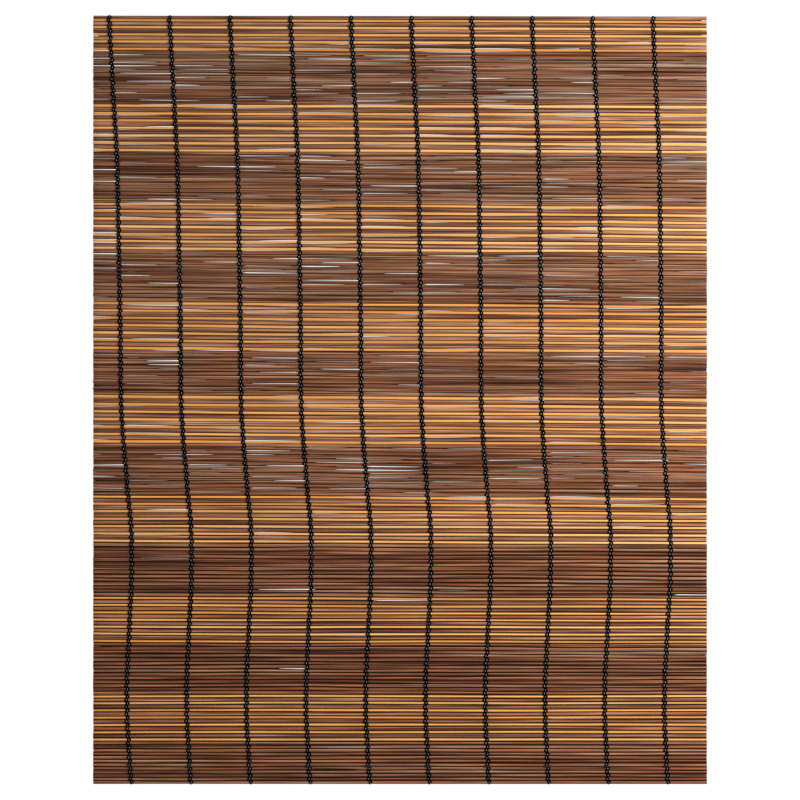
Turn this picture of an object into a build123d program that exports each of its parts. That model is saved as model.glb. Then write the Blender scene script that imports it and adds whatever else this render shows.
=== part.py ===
from build123d import *
import math
import os

# A banded bamboo reed blind of the kind that is drawn up by cords behind it.
# Millimetres. X runs along the width, the front looks towards -Y, +Z is up.
# The origin is the middle of the headrail's top face, which is screwed to the window head.

# Reed mat
stick_pitch = 3.0             # height that one stick takes in the mat
stick_thickness = 2.2         # from front to back
stick_flat = 1.3              # height of the flat that a split stick has on its front and back
web_thickness = 0.8           # what joins two sticks at the bottom of the groove between them
mat_width = 501.0
light_band_sticks = 13        # honey and brown sticks by turns
dark_band_sticks = 14         # brown sticks only
band_pairs = 8
top_band_sticks = 10          # the mat was cut off the roll in the middle of a light band
short_dark_band = 4           # this dark band was woven with two sticks fewer
short_dark_sticks = 12
bottom_band_sticks = 12       # the last dark band, cut off at the bottom edge

# Slits between the sticks, where one is bowed or thin
slit_count = 42
slit_height = 0.5
slit_shortest = 22.0
slit_longest = 40.0
slit_first_groove = 2
slit_last_groove = 152        # the sticks below this groove lie close together

# Twined warp threads
thread_width = 4.0
thread_thickness = 0.5
left_thread_inset = 13.7      # first thread from the mat's left side, at the top edge
right_thread_room = 25.0      # least room past the last thread, at the top edge
thread_spacing_top = 49.35
thread_spacing_bottom = 48.7
# How far all threads have wandered sideways, by the share of the mat's height from the top
thread_drift = [(0.0, -0.8), (0.31, 7.3), (0.485, 8.7), (0.70, 17.7), (0.89, 13.8), (1.0, 17.5)]

# Headrail and bottom batten
rail_end_inset = 4.0          # the mat stands past the rail and the batten at each end
headrail_height = 18.0
headrail_depth = 28.0
rail_edge_bevel = 1.5
fixing_hole_radius = 2.25
fixing_hole_inset = 56.5      # from the rail's end
batten_height = 20.0
batten_depth = 8.0
batten_rise = 4.0             # batten's lower edge above the mat's lower edge

# Staples over the warp threads
staple_wire = 0.8
staple_grip = 0.6             # room between a staple's leg and the side of the thread
staple_bite = 5.0             # how deep a leg goes into the wood
top_staple_groove = 3         # sticks between the mat's top edge and its row of staples
bottom_staple_groove = 5      # the same from the bottom edge

# Line of the lift cords, their rings and the ties of these
lift_cord_inset = 102.5       # from each side of the mat
lift_cord_radius = 0.7
ring_outer_radius = 6.5
ring_inner_radius = 4.5
ring_height = 2.0
ring_sides = 16               # the rings repeat, so they have few faces
ring_rows = 3
first_ring_drop = 180.0       # from the mat's top edge
ring_spacing = 200.0
tie_width = 1.6
tie_thickness = 0.6
tie_clearance = 0.1

# Fits
running_clearance = 0.05      # radial, a wheel on its axle
fixed_clearance = 0.05        # radial, a pin or screw in its hole
side_clearance = 0.2          # a wheel's face to its cheek

# Cord pulleys
sheave_radius = 6.0
sheave_groove_radius = 4.0
sheave_width = 5.0
bracket_plate = 1.0
bracket_cheek_width = 9.0
bracket_cheek_bevel = 2.5
bracket_length = 30.0
bracket_screw_offset = 11.0
sheave_headroom = 1.2         # sheave's rim below the bracket's plate
pulley_axle_radius = 1.5
pin_end = 0.5                 # a pin's end past its cheek

# Screws under the headrail
screw_radius = 1.5
screw_sides = 12              # the screws repeat, so they have few faces
screw_head_radius = 2.8
screw_head_height = 1.2
screw_bite = 10.0             # how deep a screw goes into the wood

# Cord lock
lock_end_inset = 24.5         # the lock's middle from the headrail's right end
lock_y = -5.0
lock_plate = 1.2
lock_length = 38.0
lock_screw_offset = 15.3
lock_cheek_length = 23.0
lock_cheek_height = 18.0
lock_cheek_bevel = 3.0
lock_inner_width = 8.0
guide_roller_radius = 4.0
guide_roller_x = -6.0         # from the lock's middle
guide_roller_drop = 8.5       # its axis below the lock's plate
guide_pin_radius = 1.25
lock_roller_radius = 4.0      # over its teeth
lock_tooth_height = 0.5
lock_teeth = 12
lock_axle_radius = 1.0
lock_axle_head_radius = 1.9
lock_axle_head_height = 0.7
lock_slot_clearance = 0.1
lock_slot_tilt = 35.0         # degrees from upright
lock_travel = 4.0
locked_gap = 1.1              # between the two rollers with the lock closed
locked_drop = 3.5             # lock roller's axis below the guide roller's with the lock closed

# The bands from the top down, each with its number of sticks
bands = []
for pair in range(1, band_pairs + 1):
    light_sticks = top_band_sticks if pair == 1 else light_band_sticks
    dark_sticks = dark_band_sticks
    if pair == short_dark_band:
        dark_sticks = short_dark_sticks
    if pair == band_pairs:
        dark_sticks = bottom_band_sticks
    bands += [(f"light_band_{pair}", light_sticks), (f"dark_band_{pair}", dark_sticks)]

# Places that follow from the sizes
stick_total = sum(count for name, count in bands)
mat_height = stick_total * stick_pitch
rail_front_y = -headrail_depth / 2
mat_back_y = rail_front_y - thread_thickness
mat_front_y = mat_back_y - stick_thickness
mat_middle_y = (mat_front_y + mat_back_y) / 2
rail_width = mat_width - 2 * rail_end_inset
rail_bottom_z = -headrail_height
first_thread_x = left_thread_inset - mat_width / 2
thread_room = mat_width - left_thread_inset - right_thread_room
thread_count = int(thread_room / thread_spacing_top) + 1
fixing_hole_x = rail_width / 2 - fixing_hole_inset
lift_cord_x = mat_width / 2 - lift_cord_inset
lock_x = rail_width / 2 - lock_end_inset
lift_cord_y = mat_back_y + ring_outer_radius
wheel_gap = 2 * side_clearance


def yz_prism(points, width, x=0.0):
    """Extrude a closed outline in the YZ plane to both sides of x."""
    outline = make_face(Plane.YZ * Polyline(*points, close=True))
    return Pos(x, 0, 0) * extrude(outline, amount=width / 2, both=True)


def screw_round(radius, height):
    """An upright many-sided cylinder for a screw, its hole or its head, from z = 0 up."""
    return extrude(RegularPolygon(radius, screw_sides), height)


def y_cylinder(radius, length, x, y, z):
    """A cylinder along Y, centred on the point."""
    return Pos(x, y, z) * Rot(X=90) * Cylinder(radius, length)


def grooves():
    """Heights of the grooves inside the bands: band edges are left out."""
    heights = []
    first = 0
    for name, count in bands:
        heights += [-(first + k) * stick_pitch for k in range(1, count)]
        first += count
    return heights


def thread_x(number, share):
    """Middle of a warp thread at a share of the mat's height from the top."""
    spacing = thread_spacing_top + (thread_spacing_bottom - thread_spacing_top) * share
    for (low, low_drift), (high, high_drift) in zip(thread_drift, thread_drift[1:]):
        if low <= share <= high:
            drift = low_drift + (high_drift - low_drift) * (share - low) / (high - low)
    return first_thread_x + number * spacing + drift


def slits():
    """Centre and length of each slit, spread evenly over the bays between the threads."""
    golden = (math.sqrt(5) - 1) / 2
    inner = [z for z in grooves() if slit_first_groove <= -z / stick_pitch <= slit_last_groove]
    for k in range(slit_count):
        z = inner[k * len(inner) // slit_count]
        bay = (7 * k) % (thread_count - 1)
        left, right = (thread_x(bay + side, -z / mat_height) for side in (0, 1))
        length = slit_shortest + (slit_longest - slit_shortest) * (k * golden % 1)
        yield (left + right) / 2, z, length


def reed_band(first, count):
    """A run of sticks joined in their grooves, with the slits that fall in it."""
    top = -first * stick_pitch
    rim = (stick_pitch - stick_flat) / 2
    web, crest = web_thickness / 2, stick_thickness / 2
    front = [(mat_middle_y - web, top)]
    back = [(mat_middle_y + web, top)]
    for k in range(count):
        stick_top = top - k * stick_pitch
        for side, line in ((-1, front), (1, back)):
            line.append((mat_middle_y + side * crest, stick_top - rim))
            line.append((mat_middle_y + side * crest, stick_top - stick_pitch + rim))
            line.append((mat_middle_y + side * web, stick_top - stick_pitch))
    band = yz_prism(front + back[::-1], mat_width)
    bottom = top - count * stick_pitch
    cuts = [Pos(x, mat_middle_y, z) * Box(length, 2 * stick_thickness, slit_height)
            for x, z, length in slits() if bottom < z < top]
    return band - cuts if cuts else band


def warp_thread(number):
    """A flat twined thread down the front, under the bottom edge and up the back."""
    middle = [(thread_x(number, share), -share * mat_height) for share, drift in thread_drift]
    half = thread_width / 2
    outline = [(x - half, z) for x, z in middle] + [(x + half, z) for x, z in reversed(middle)]
    strip = make_face(Plane.XZ * Polyline(*outline, close=True))
    front = Pos(0, mat_front_y, 0) * extrude(strip, amount=thread_thickness)
    back = Pos(0, rail_front_y, 0) * extrude(strip, amount=thread_thickness)
    front_y = mat_front_y - thread_thickness
    turn_depth = rail_front_y - front_y
    turn = Pos(middle[-1][0], front_y + turn_depth / 2, -mat_height - thread_thickness / 2)
    return front + back + turn * Box(thread_width, turn_depth, thread_thickness)


def rail_bar(height, depth, bottom_z):
    """A wooden bar behind the mat with its long edges eased, its front on the threads."""
    bar = Box(rail_width, depth, height)
    bar = chamfer(bar.edges().filter_by(Axis.X), rail_edge_bevel)
    return Pos(0, rail_front_y + depth / 2, bottom_z + height / 2) * bar


def headrail():
    """The bar at the top, with the two holes that it is screwed up through."""
    rail = rail_bar(headrail_height, headrail_depth, rail_bottom_z)
    for x in (-fixing_hole_x, fixing_hole_x):
        rail -= Pos(x, 0, -headrail_height / 2) * Cylinder(fixing_hole_radius, 2 * headrail_height)
    return rail


def staple_row(groove):
    """One staple over each warp thread, its legs through a groove of the mat into the wood."""
    share = groove / stick_total
    inner = thread_width + 2 * staple_grip
    crown_y = mat_front_y - thread_thickness - staple_wire / 2
    leg = rail_front_y + staple_bite - (crown_y - staple_wire / 2)
    staples = []
    for number in range(thread_count):
        x, z = thread_x(number, share), -groove * stick_pitch
        staple = Pos(x, crown_y, z) * Box(inner + 2 * staple_wire, staple_wire, staple_wire)
        for side in (-1, 1):
            leg_x = x + side * (inner + staple_wire) / 2
            staple += Pos(leg_x, crown_y - staple_wire / 2 + leg / 2, z) * Box(staple_wire, leg, staple_wire)
        staples.append(staple)
    return Compound(staples)


def sheave_x(side):
    """The pulley stands where its groove meets the lift cord's line."""
    return side * lift_cord_x + sheave_groove_radius + lift_cord_radius


def sheave_z():
    return rail_bottom_z - bracket_plate - sheave_headroom - sheave_radius


def wood_screw(x, y, plate):
    """A pan-head screw up through a plate of that thickness into the headrail."""
    head = screw_round(screw_head_radius, screw_head_height)
    shank = screw_round(screw_radius, screw_head_height + plate + screw_bite)
    return Pos(x, y, rail_bottom_z - plate - screw_head_height) * (head + shank)


def hardware_screws():
    """Two screws for each pulley and two for the lock, as separate solids."""
    screws = []
    for offset in (-1, 1):
        for side in (-1, 1):
            x = sheave_x(side) + offset * bracket_screw_offset
            screws.append(wood_screw(x, lift_cord_y, bracket_plate))
        screws.append(wood_screw(lock_x + offset * lock_screw_offset, lock_y, lock_plate))
    return Compound(screws)


def screw_hole(x, y, plate):
    """What is cut from a plate under the headrail for a screw."""
    hole = screw_round(screw_radius + fixed_clearance, 3 * plate)
    return Pos(x, y, rail_bottom_z - 2 * plate) * hole


def cheek_pin(radius, span, x, y, z):
    """A pin along Y through two cheeks, its ends standing a little past them."""
    return y_cylinder(radius, span + 2 * pin_end, x, y, z)


def pulley_bracket(side):
    """A steel plate bent into two cheeks, which hold the sheave under the headrail."""
    x, z = sheave_x(side), sheave_z()
    inner = sheave_width + wheel_gap
    outer = inner + 2 * bracket_plate
    bracket = Pos(x, lift_cord_y, rail_bottom_z - bracket_plate / 2) * Box(bracket_length, outer, bracket_plate)
    half = bracket_cheek_width / 2
    drop = rail_bottom_z - bracket_plate / 2 - z
    cheek = Pos(0, (drop - half) / 2) * Rectangle(bracket_cheek_width, drop + half)
    cheek = chamfer(cheek.vertices().group_by(Axis.Y)[0], bracket_cheek_bevel)
    cheek -= Circle(pulley_axle_radius + fixed_clearance)
    for face_y in (lift_cord_y - inner / 2, lift_cord_y + outer / 2):
        bracket += Pos(x, face_y, z) * extrude(Plane.XZ * cheek, amount=bracket_plate)
    for offset in (-bracket_screw_offset, bracket_screw_offset):
        bracket -= screw_hole(x + offset, lift_cord_y, bracket_plate)
    return bracket


def pulley_axle(side):
    span = sheave_width + wheel_gap + 2 * bracket_plate
    return cheek_pin(pulley_axle_radius, span, sheave_x(side), lift_cord_y, sheave_z())


def pulley_sheave(side):
    """A nylon wheel with a V groove on the axle."""
    bore, half = pulley_axle_radius + running_clearance, sheave_width / 2
    outline = [(bore, -half), (sheave_radius, -half), (sheave_groove_radius, 0),
               (sheave_radius, half), (bore, half)]
    wheel = revolve(make_face(Plane.XZ * Polyline(*outline, close=True)), Axis.Z)
    return Pos(sheave_x(side), lift_cord_y, sheave_z()) * Rot(X=90) * wheel


def guide_roller_place():
    return lock_x + guide_roller_x, rail_bottom_z - lock_plate - guide_roller_drop


def lock_roller_place():
    """The lock roller closed: beside and below the guide roller, the cord's gap away."""
    x, z = guide_roller_place()
    reach = guide_roller_radius + lock_roller_radius + locked_gap
    return x + math.sqrt(reach ** 2 - locked_drop ** 2), z - locked_drop


def lock_slide_direction():
    tilt = math.radians(lock_slot_tilt)
    return math.sin(tilt), math.cos(tilt)


def lock_housing():
    """Two cheeks under a screwed plate, with a slanting slot in each for the lock axle."""
    outer = lock_inner_width + 2 * lock_plate
    housing = Pos(lock_x, lock_y, rail_bottom_z - lock_plate / 2) * Box(lock_length, outer, lock_plate)
    cheek = Pos(0, -lock_cheek_height / 2) * Rectangle(lock_cheek_length, lock_cheek_height)
    cheek = chamfer(cheek.vertices().group_by(Axis.Y)[0], lock_cheek_bevel)
    pin_x, pin_z = guide_roller_place()
    under = rail_bottom_z - lock_plate
    cheek -= Pos(pin_x - lock_x, pin_z - under) * Circle(guide_pin_radius + fixed_clearance)
    x, z = lock_roller_place()
    slide_x, slide_z = lock_slide_direction()
    middle = Pos(x - lock_x + slide_x * lock_travel / 2, z - under + slide_z * lock_travel / 2)
    slot_width = 2 * (lock_axle_radius + lock_slot_clearance)
    cheek -= middle * Rot(Z=90 - lock_slot_tilt) * SlotCenterToCenter(lock_travel, slot_width)
    for face_y in (lock_y - lock_inner_width / 2, lock_y + outer / 2):
        housing += Pos(lock_x, face_y, under) * extrude(Plane.XZ * cheek, amount=lock_plate)
    for offset in (-lock_screw_offset, lock_screw_offset):
        housing -= screw_hole(lock_x + offset, lock_y, lock_plate)
    return housing


def lock_guide_pin():
    x, z = guide_roller_place()
    return cheek_pin(guide_pin_radius, lock_inner_width + 2 * lock_plate, x, lock_y, z)


def lock_guide_roller():
    """The plain roller that turns the cords down into the lock."""
    x, z = guide_roller_place()
    length = lock_inner_width - wheel_gap
    roller = y_cylinder(guide_roller_radius, length, x, lock_y, z)
    return roller - y_cylinder(guide_pin_radius + running_clearance, 2 * length, x, lock_y, z)


def lock_axle():
    """The headed pin that slides in the two slots and carries the toothed roller."""
    x, z = lock_roller_place()
    span = lock_inner_width + 2 * lock_plate + wheel_gap
    axle = y_cylinder(lock_axle_radius, span, x, lock_y, z)
    head = extrude(RegularPolygon(lock_axle_head_radius, screw_sides), lock_axle_head_height / 2, both=True)
    for side in (-1, 1):
        head_y = lock_y + side * (span + lock_axle_head_height) / 2
        axle += Pos(x, head_y, z) * Rot(X=90) * head
    return axle


def lock_roller():
    """The toothed roller that drops on the cords and holds them."""
    x, z = lock_roller_place()
    length = lock_inner_width - wheel_gap
    step = 360 / lock_teeth
    outline = []
    for k in range(lock_teeth):
        for share, radius in ((0.0, lock_roller_radius), (0.5, lock_roller_radius - lock_tooth_height)):
            turn = math.radians((k + share) * step)
            outline.append((radius * math.cos(turn), radius * math.sin(turn)))
    star = make_face(Polyline(*outline, close=True)) - Circle(lock_axle_radius + running_clearance)
    return Pos(x, lock_y, z) * Rot(X=90) * extrude(star, amount=length / 2, both=True)


def ring_place(side, row):
    return side * lift_cord_x, lift_cord_y, -first_ring_drop - row * ring_spacing


def cord_rings(side):
    """The flat rings that one lift cord runs through, their fronts touching the mat's back."""
    outer = RegularPolygon(ring_outer_radius, ring_sides, major_radius=False)
    inner = RegularPolygon(ring_inner_radius, ring_sides, major_radius=False)
    ring = Rot(Z=180 / ring_sides) * extrude(outer - inner, ring_height / 2, both=True)
    return Compound([Pos(*ring_place(side, row)) * ring for row in range(ring_rows)])


def ring_ties():
    """A loop of thread round the front of each ring, its ends at the mat."""
    wall = ring_outer_radius - ring_inner_radius
    inner_depth, inner_height = wall + tie_clearance, ring_height + 2 * tie_clearance
    ties = []
    for side in (-1, 1):
        for row in range(ring_rows):
            x, y, z = ring_place(side, row)
            outer = Box(tie_width, inner_depth + tie_thickness, inner_height + 2 * tie_thickness,
                        align=(Align.CENTER, Align.MIN, Align.CENTER))
            inner = Box(2 * tie_width, inner_depth, inner_height,
                        align=(Align.CENTER, Align.MIN, Align.CENTER))
            ties.append(Pos(x, mat_back_y, z) * (outer - inner))
    return Compound(ties)


def blind():
    """Every piece of the blind by its node's name."""
    parts = {}
    first = 0
    for name, count in bands:
        parts[name] = reed_band(first, count)
        first += count
    for number in range(thread_count):
        parts[f"warp_thread_{number + 1}"] = warp_thread(number)
    parts["headrail"] = headrail()
    parts["bottom_batten"] = rail_bar(batten_height, batten_depth, batten_rise - mat_height)
    parts["headrail_staples"] = staple_row(top_staple_groove)
    parts["batten_staples"] = staple_row(stick_total - bottom_staple_groove)
    for side, word in ((-1, "left"), (1, "right")):
        parts[f"{word}_pulley_bracket"] = pulley_bracket(side)
        parts[f"{word}_pulley_axle"] = pulley_axle(side)
        parts[f"{word}_pulley_sheave"] = pulley_sheave(side)
        parts[f"{word}_cord_rings"] = cord_rings(side)
    parts["ring_ties"] = ring_ties()
    parts["lock_housing"] = lock_housing()
    parts["lock_guide_pin"] = lock_guide_pin()
    parts["lock_guide_roller"] = lock_guide_roller()
    parts["lock_axle"] = lock_axle()
    parts["lock_roller"] = lock_roller()
    parts["hardware_screws"] = hardware_screws()
    return parts


os.makedirs("parts", exist_ok=True)
for node, shape in blind().items():
    export_step(shape, f"parts/{node}.step")
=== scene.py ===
import math

import bpy
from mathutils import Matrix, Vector


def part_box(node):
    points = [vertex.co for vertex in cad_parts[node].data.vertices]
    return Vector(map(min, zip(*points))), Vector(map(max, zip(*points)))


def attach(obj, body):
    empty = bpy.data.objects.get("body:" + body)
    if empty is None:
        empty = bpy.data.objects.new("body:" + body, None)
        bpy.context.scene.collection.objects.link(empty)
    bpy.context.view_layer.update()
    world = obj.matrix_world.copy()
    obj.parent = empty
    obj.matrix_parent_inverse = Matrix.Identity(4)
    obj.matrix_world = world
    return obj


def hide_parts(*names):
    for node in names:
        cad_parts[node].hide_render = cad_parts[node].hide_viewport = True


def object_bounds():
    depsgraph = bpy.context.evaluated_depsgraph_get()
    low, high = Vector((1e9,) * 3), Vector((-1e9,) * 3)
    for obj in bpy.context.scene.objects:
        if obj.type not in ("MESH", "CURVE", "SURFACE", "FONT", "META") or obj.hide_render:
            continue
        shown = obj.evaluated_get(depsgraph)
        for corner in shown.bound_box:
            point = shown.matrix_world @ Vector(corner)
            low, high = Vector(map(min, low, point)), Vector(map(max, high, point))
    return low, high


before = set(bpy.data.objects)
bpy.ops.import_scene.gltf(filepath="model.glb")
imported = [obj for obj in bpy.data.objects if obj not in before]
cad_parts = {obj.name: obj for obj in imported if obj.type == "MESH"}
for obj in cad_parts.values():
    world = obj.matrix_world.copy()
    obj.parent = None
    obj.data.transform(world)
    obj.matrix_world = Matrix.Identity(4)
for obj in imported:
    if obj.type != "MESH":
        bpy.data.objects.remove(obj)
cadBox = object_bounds()
mm = 0.001
print("frame loaded:", len(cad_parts), "nodes")


# Small helpers for objects and node trees

def addObject(name, data):
    made = bpy.data.objects.new(name, data)
    bpy.context.scene.collection.objects.link(made)
    return made


def feed(tree, socket, value):
    if isinstance(value, bpy.types.NodeSocket):
        tree.links.new(value, socket)
    elif value is not None:
        socket.default_value = value


def addNode(tree, kind, values=None, **settings):
    made = tree.nodes.new(kind)
    for name, value in settings.items():
        setattr(made, name, value)
    for name, value in (values or {}).items():
        feed(tree, made.inputs[name], value)
    return made


def maths(tree, operation, *values):
    made = addNode(tree, "ShaderNodeMath", operation=operation)
    for socket, value in zip(made.inputs, values):
        feed(tree, socket, value)
    return made.outputs[0]


def total(tree, first, *others):
    for other in others:
        first = maths(tree, "ADD", first, other)
    return first


def times(tree, first, *others):
    for other in others:
        first = maths(tree, "MULTIPLY", first, other)
    return first


def minus(tree, first, second):
    return maths(tree, "SUBTRACT", first, second)


def size(tree, value):
    return maths(tree, "ABSOLUTE", value)


def vector(tree, x, y, z):
    return addNode(tree, "ShaderNodeCombineXYZ", {"X": x, "Y": y, "Z": z}).outputs[0]


def split(tree, value):
    return addNode(tree, "ShaderNodeSeparateXYZ", {0: value}).outputs


def distance(tree, x, y):
    return maths(tree, "SQRT", total(tree, maths(tree, "POWER", x, 2.0), maths(tree, "POWER", y, 2.0)))


def stretchRange(tree, value, low, high, newLow=0.0, newHigh=1.0):
    return addNode(tree, "ShaderNodeMapRange", {"Value": value, "From Min": low, "From Max": high,
                                                "To Min": newLow, "To Max": newHigh}).outputs[0]


def noise(tree, x, y, z, detail=0.0):
    made = addNode(tree, "ShaderNodeTexNoise", {"Vector": vector(tree, x, y, z), "Scale": 1.0,
                                                "Detail": detail})
    return minus(tree, made.outputs[0], 0.5)               # about -0.25 to 0.25, mean 0


def wave(tree, x, row, pace, seed, detail=0.0):
    # a wander along the sticks; pace is how fast it changes along x and from one row to the next
    return noise(tree, times(tree, x, pace[0]), times(tree, row, pace[1]), seed, detail)


def chance(tree, x, y, z):
    made = addNode(tree, "ShaderNodeTexWhiteNoise", {"Vector": vector(tree, x, y, z)}, noise_dimensions="3D")
    return made.outputs[0]                                 # 0 to 1, even


def lookUp(tree, place, points, scale):
    # a smooth line through (share, value) points, read at place; the curve holds each value divided by scale
    made = addNode(tree, "ShaderNodeFloatCurve", {"Value": place})
    made.mapping.use_clip = False
    line = made.mapping.curves[0]
    for share, value in points[1:-1]:
        line.points.new(share, value / scale)
    for point, (share, value) in zip(line.points, points):
        point.location = (share, value / scale)
    made.mapping.update()
    return times(tree, made.outputs[0], scale)


def newTree(name, inputs, outputs):
    tree = bpy.data.node_groups.new(name, "GeometryNodeTree")
    for label, kind in inputs:
        tree.interface.new_socket(name=label, in_out="INPUT", socket_type="NodeSocket" + kind)
    for label, kind in outputs:
        tree.interface.new_socket(name=label, in_out="OUTPUT", socket_type="NodeSocket" + kind)
    return tree, tree.nodes.new("NodeGroupInput").outputs, tree.nodes.new("NodeGroupOutput").inputs


def valueTree(name, inputs, outputs):
    return newTree(name, [(label, "Float") for label in inputs], [(label, "Float") for label in outputs])


def pieceTree(name, *sizes):
    inputs = [("Geometry", "Geometry")] + [(label, "Float") for label in sizes] + [("Material", "Material")]
    return newTree(name, inputs, [("Geometry", "Geometry")])


def useGroup(tree, group, values):
    made = addNode(tree, "GeometryNodeGroup", node_tree=group)
    for name, value in values.items():
        feed(tree, made.inputs[name], value)
    return made.outputs


def position(tree):
    return split(tree, addNode(tree, "GeometryNodeInputPosition").outputs[0])


def readFloat(tree, name):
    return addNode(tree, "GeometryNodeInputNamedAttribute", {"Name": name}, data_type="FLOAT").outputs[0]


def store(tree, geometry, name, value, kind):
    return addNode(tree, "GeometryNodeStoreNamedAttribute", {"Geometry": geometry, "Name": name,
                                                             "Value": value}, data_type=kind).outputs[0]


def straightLine(tree, start, end, points):
    line = addNode(tree, "GeometryNodeCurvePrimitiveLine", {"Start": (start, 0.0, 0.0),
                                                            "End": (end, 0.0, 0.0)})
    return addNode(tree, "GeometryNodeResampleCurve", {"Curve": line.outputs[0], "Count": points}).outputs[0]


def roundTube(tree, curve, radius, sides, scale=None):
    circle = addNode(tree, "GeometryNodeCurvePrimitiveCircle", {"Resolution": sides, "Radius": radius})
    return addNode(tree, "GeometryNodeCurveToMesh", {"Curve": curve, "Profile Curve": circle.outputs[0],
                                                     "Scale": scale, "Fill Caps": True}).outputs[0]


def atPoints(tree, points, instance, turn=None):
    return addNode(tree, "GeometryNodeInstanceOnPoints", {"Points": points, "Instance": instance,
                                                          "Rotation": turn}).outputs[0]


def endTree(tree, made, geometry, material, smooth=True):
    real = addNode(tree, "GeometryNodeRealizeInstances", {"Geometry": geometry}).outputs[0]
    shaded = addNode(tree, "GeometryNodeSetShadeSmooth", {"Geometry": real, "Shade Smooth": smooth})
    painted = addNode(tree, "GeometryNodeSetMaterial", {"Geometry": shaded.outputs[0], "Material": material})
    feed(tree, made["Geometry"], painted.outputs[0])


def pointMesh(name, places, edges=(), **attributes):
    mesh = bpy.data.meshes.new(name)
    mesh.from_pydata(places, edges, [])
    for label, values in attributes.items():
        mesh.attributes.new(label, "FLOAT", "POINT").data.foreach_set("value", values)
    return mesh


def grow(name, base, tree, values, slot, *replaced):
    # runs a Geometry Nodes tree on a base mesh and keeps its result as a plain mesh piece
    holder = addObject(name + "Base", base)
    modifier = holder.modifiers.new("shape", "NODES")
    modifier.node_group = tree
    for item in tree.interface.items_tree:
        if item.item_type == "SOCKET" and item.in_out == "INPUT" and item.name in values:
            modifier[item.identifier] = values[item.name]
    shaped = holder.evaluated_get(bpy.context.evaluated_depsgraph_get())
    mesh = bpy.data.meshes.new_from_object(shaped)
    mesh.name = name
    holder.modifiers.remove(modifier)
    bpy.data.objects.remove(holder)
    piece = addObject(name, mesh)
    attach(piece, "blind")
    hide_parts(*replaced)
    return piece


# Camera, lights and floor

view = {"lens": 165.0, "sensor": 36.0, "seenWidth": 653.1 * mm, "centreHeight": -313.5 * mm}
light = {"sky": 0.36, "skyColour": (0.97, 0.985, 1.0, 1.0),
         "key": 0.95, "keyTurn": (50.0, 0.0, 20.0), "keySoftness": 14.0,
         "panel": 5.9, "panelPlace": (0.6, -0.55, -0.12), "panelSize": 0.22, "panelAim": (0.0, 0.0, -0.31),
         "rear": 1.2, "rearTurn": (62.0, 0.0, 205.0), "rearSoftness": 20.0}
floor = {"height": -0.86, "radius": 1.75, "plainRadius": 0.8, "colour": (0.86, 0.85, 0.83, 1.0)}
white = (1.0, 1.0, 1.0, 1.0)


def setCamera():
    camera = addObject("camera", bpy.data.cameras.new("camera"))
    camera.data.sensor_width = view["sensor"]
    camera.data.lens = view["lens"]
    away = view["lens"] / view["sensor"] * view["seenWidth"]
    camera.location = (0.0, cadBox[0].y - away, view["centreHeight"])
    camera.rotation_euler = (math.radians(90), 0.0, 0.0)
    bpy.context.scene.camera = camera


def addSun(name):
    lamp = bpy.data.lights.new(name, "SUN")
    lamp.energy = light[name]
    lamp.angle = math.radians(light[name + "Softness"])
    addObject(name, lamp).rotation_euler = [math.radians(angle) for angle in light[name + "Turn"]]


def addPanel():
    # a near lamp at the right, so that the light falls off towards the left
    lamp = bpy.data.lights.new("panel", "AREA")
    lamp.energy = light["panel"]
    lamp.size = light["panelSize"]
    holder = addObject("panel", lamp)
    holder.location = light["panelPlace"]
    away = Vector(light["panelAim"]) - Vector(light["panelPlace"])
    holder.rotation_euler = away.to_track_quat("-Z", "Y").to_euler()


def whiteBehind(tree):
    # 1 where a ray comes from the camera, a mirror or a lens, so that they see plain white
    path = addNode(tree, "ShaderNodeLightPath").outputs
    seen = maths(tree, "MAXIMUM", path["Is Camera Ray"], path["Is Glossy Ray"])
    return maths(tree, "MAXIMUM", seen, path["Is Transmission Ray"])


def mixShaders(tree, share, first, second):
    return addNode(tree, "ShaderNodeMixShader", {0: share, 1: first.outputs[0],
                                                 2: second.outputs[0]}).outputs[0]


def setWorld():
    world = bpy.data.worlds.new("studio")
    world.use_nodes = True
    tree = world.node_tree
    tree.nodes.clear()
    sky = addNode(tree, "ShaderNodeBackground", {"Color": light["skyColour"], "Strength": light["sky"]})
    backdrop = addNode(tree, "ShaderNodeBackground", {"Color": white, "Strength": 1.0})
    addNode(tree, "ShaderNodeOutputWorld", {"Surface": mixShaders(tree, whiteBehind(tree), sky, backdrop)})
    bpy.context.scene.world = world


def floorPaint():
    paint = bpy.data.materials.new("palePaint")
    paint.use_nodes = True
    tree = paint.node_tree
    tree.nodes.clear()
    place = split(tree, addNode(tree, "ShaderNodeTexCoord").outputs["Object"])
    away = distance(tree, place[0], place[1])
    fade = stretchRange(tree, away, floor["plainRadius"], floor["radius"])   # into the white round it
    plain = addNode(tree, "ShaderNodeBsdfDiffuse", {"Color": floor["colour"]})
    clear = addNode(tree, "ShaderNodeBsdfTransparent")
    addNode(tree, "ShaderNodeOutputMaterial", {"Surface": mixShaders(tree, fade, plain, clear)})
    return paint


def layFloor():
    mesh = bpy.data.meshes.new("floor")
    corners = [(x * floor["radius"], y * floor["radius"], floor["height"])
               for x, y in ((-1, -1), (1, -1), (1, 1), (-1, 1))]
    mesh.from_pydata(corners, [], [(0, 1, 2, 3)])
    mesh.materials.append(floorPaint())
    addObject("floor", mesh)


bpy.context.scene.view_settings.view_transform = "Standard"
setCamera()
setWorld()
addSun("key")
addPanel()
addSun("rear")
layFloor()
print("camera, lights and floor set")


# Materials

def srgb(red, green, blue):
    def linear(value):
        value = value / 255
        return value / 12.92 if value <= 0.04045 else ((value + 0.055) / 1.055) ** 2.4
    return linear(red), linear(green), linear(blue), 1.0


def grey(value):
    return value, value, value, 1.0


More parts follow.
